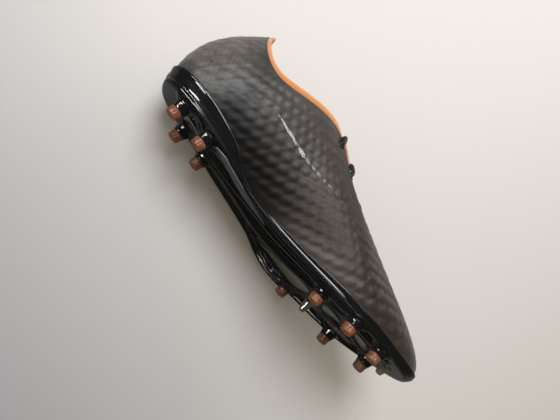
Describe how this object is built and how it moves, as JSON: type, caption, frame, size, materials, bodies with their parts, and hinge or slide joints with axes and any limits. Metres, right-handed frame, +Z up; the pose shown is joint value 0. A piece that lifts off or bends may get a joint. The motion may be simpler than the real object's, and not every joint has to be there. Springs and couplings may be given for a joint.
{
  "type": "soccer cleat",
  "caption": "Low-cut left soccer cleat with a skin-covered knit upper, orange collar lining, round laces and a gloss plate with two-part moulded studs.",
  "frame": {"origin": "on the ground plane of the heel stud tips, under the middle of the bounding box", "axes": "+X from heel to toe, +Y to the outer (little toe) side of this left shoe, +Z up"},
  "size_m": [0.2841, 0.0981, 0.1038],
  "materials": {
    "knit_skin": "matte sheen skin over a dimpled knit",
    "orange_lining": "soft brushed knit",
    "grey_lining": "plain woven lining",
    "foam": "open-cell foam",
    "stiffener": "moulded stiffener sheet",
    "eyestay_film": "thin reinforcing film",
    "eyelet_tpu": "small moulded rings",
    "lace_cord": "round braided cord with a gloss",
    "aglet_plastic": "heat-shrunk sleeve",
    "tongue_cloth": "fine knit",
    "board": "stitched board cloth",
    "sockliner_cloth": "brushed cloth over foam",
    "gloss_plate": "polished moulding",
    "clear_web": "smoky translucent moulding",
    "stud_tip": "translucent ribbed moulding",
    "accent_foil": "silvery film"
  },
  "bodies": {
    "shoe": {"upper_shell": "knit_skin", "quarter_lining": "orange_lining", "vamp_lining": "grey_lining", "collar_foam": "foam", "heel_counter": "stiffener", "toe_puff": "stiffener", "eyestay_medial": "eyestay_film", "eyestay_lateral": "eyestay_film", "eyelets": "eyelet_tpu", "lace": "lace_cord", "aglets": "aglet_plastic", "strobel_board": "board", "outsole_plate": "gloss_plate", "forefoot_web": "clear_web", "heel_window": "clear_web", "toe_bumper": "clear_web", "stud_posts": "gloss_plate", "stud_tips_heel": "stud_tip", "stud_tips_forefoot": "stud_tip", "centre_nubs": "clear_web", "accent_marks": "accent_foil"},
    "tongue_body": {"tongue": "tongue_cloth", "tongue_backing": "orange_lining"},
    "sockliner_body": {"sockliner": "sockliner_cloth", "heel_pad": "foam"}
  },
  "joints": [
    {"name": "tongue_hinge", "type": "hinge", "parent": "shoe", "child": "tongue_body", "pos_m": [0.0175, -0.0085, 0.07], "axis": [0, 1, 0], "range_deg": [-9, 0]},
    {"name": "sockliner_lift", "type": "hinge", "parent": "shoe", "child": "sockliner_body", "pos_m": [0.133, -0.01, 0.03], "axis": [0, 1, 0], "range_deg": [0, 5]}
  ]
}
